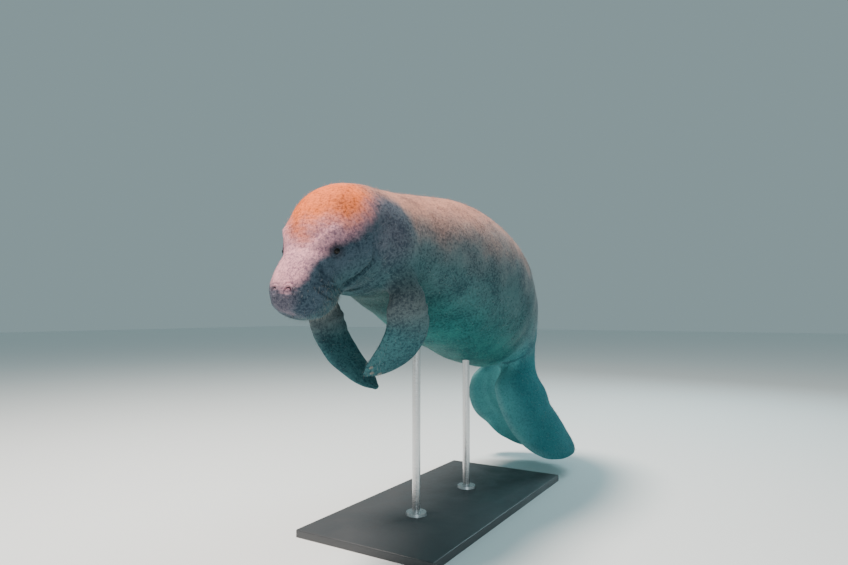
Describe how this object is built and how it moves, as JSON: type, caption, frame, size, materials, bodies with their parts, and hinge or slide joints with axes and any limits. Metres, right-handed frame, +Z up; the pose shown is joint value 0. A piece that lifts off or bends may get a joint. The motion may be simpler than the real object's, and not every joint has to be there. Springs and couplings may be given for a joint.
{
  "type": "manatee still model on a display stand",
  "caption": "Life-size still model of a West Indian manatee with arched back, hanging flippers and cupped paddle tail, held on a plain stand by rods.",
  "frame": {"origin": "centre of the underside of the stand's base", "axes": "+Z up; the animal faces -Y and its left side is +X"},
  "size_m": [0.6795, 2.1665, 1.3853],
  "materials": {
    "snout_skin": "matte, wrinkled, with short bristles",
    "crown_skin": "matte, speckled, finely wrinkled",
    "flank_skin": "matte, speckled, finely wrinkled",
    "tail_skin": "matte, speckled, finely wrinkled",
    "flipper_skin": "matte, wrinkled",
    "eye": "glossy, dark",
    "nail": "satin",
    "stand_base": "satin black",
    "stand_rod": "brushed"
  },
  "bodies": {
    "root": {"muzzle": "snout_skin", "head": "crown_skin", "lower_jaw": "snout_skin", "neck": "flank_skin", "chest": "flank_skin", "abdomen": "flank_skin", "loin": "flank_skin", "tail_stock": "tail_skin", "fluke": "tail_skin", "flipper_left_arm": "flipper_skin", "flipper_left_hand": "flipper_skin", "flipper_right_arm": "flipper_skin", "flipper_right_hand": "flipper_skin", "eye_left": "eye", "eye_right": "eye", "nail_left_1": "nail", "nail_left_2": "nail", "nail_left_3": "nail", "nail_right_1": "nail", "nail_right_2": "nail", "nail_right_3": "nail", "stand_base": "stand_base", "stand_rod_front": "stand_rod", "stand_rod_rear": "stand_rod"}
  },
  "joints": []
}
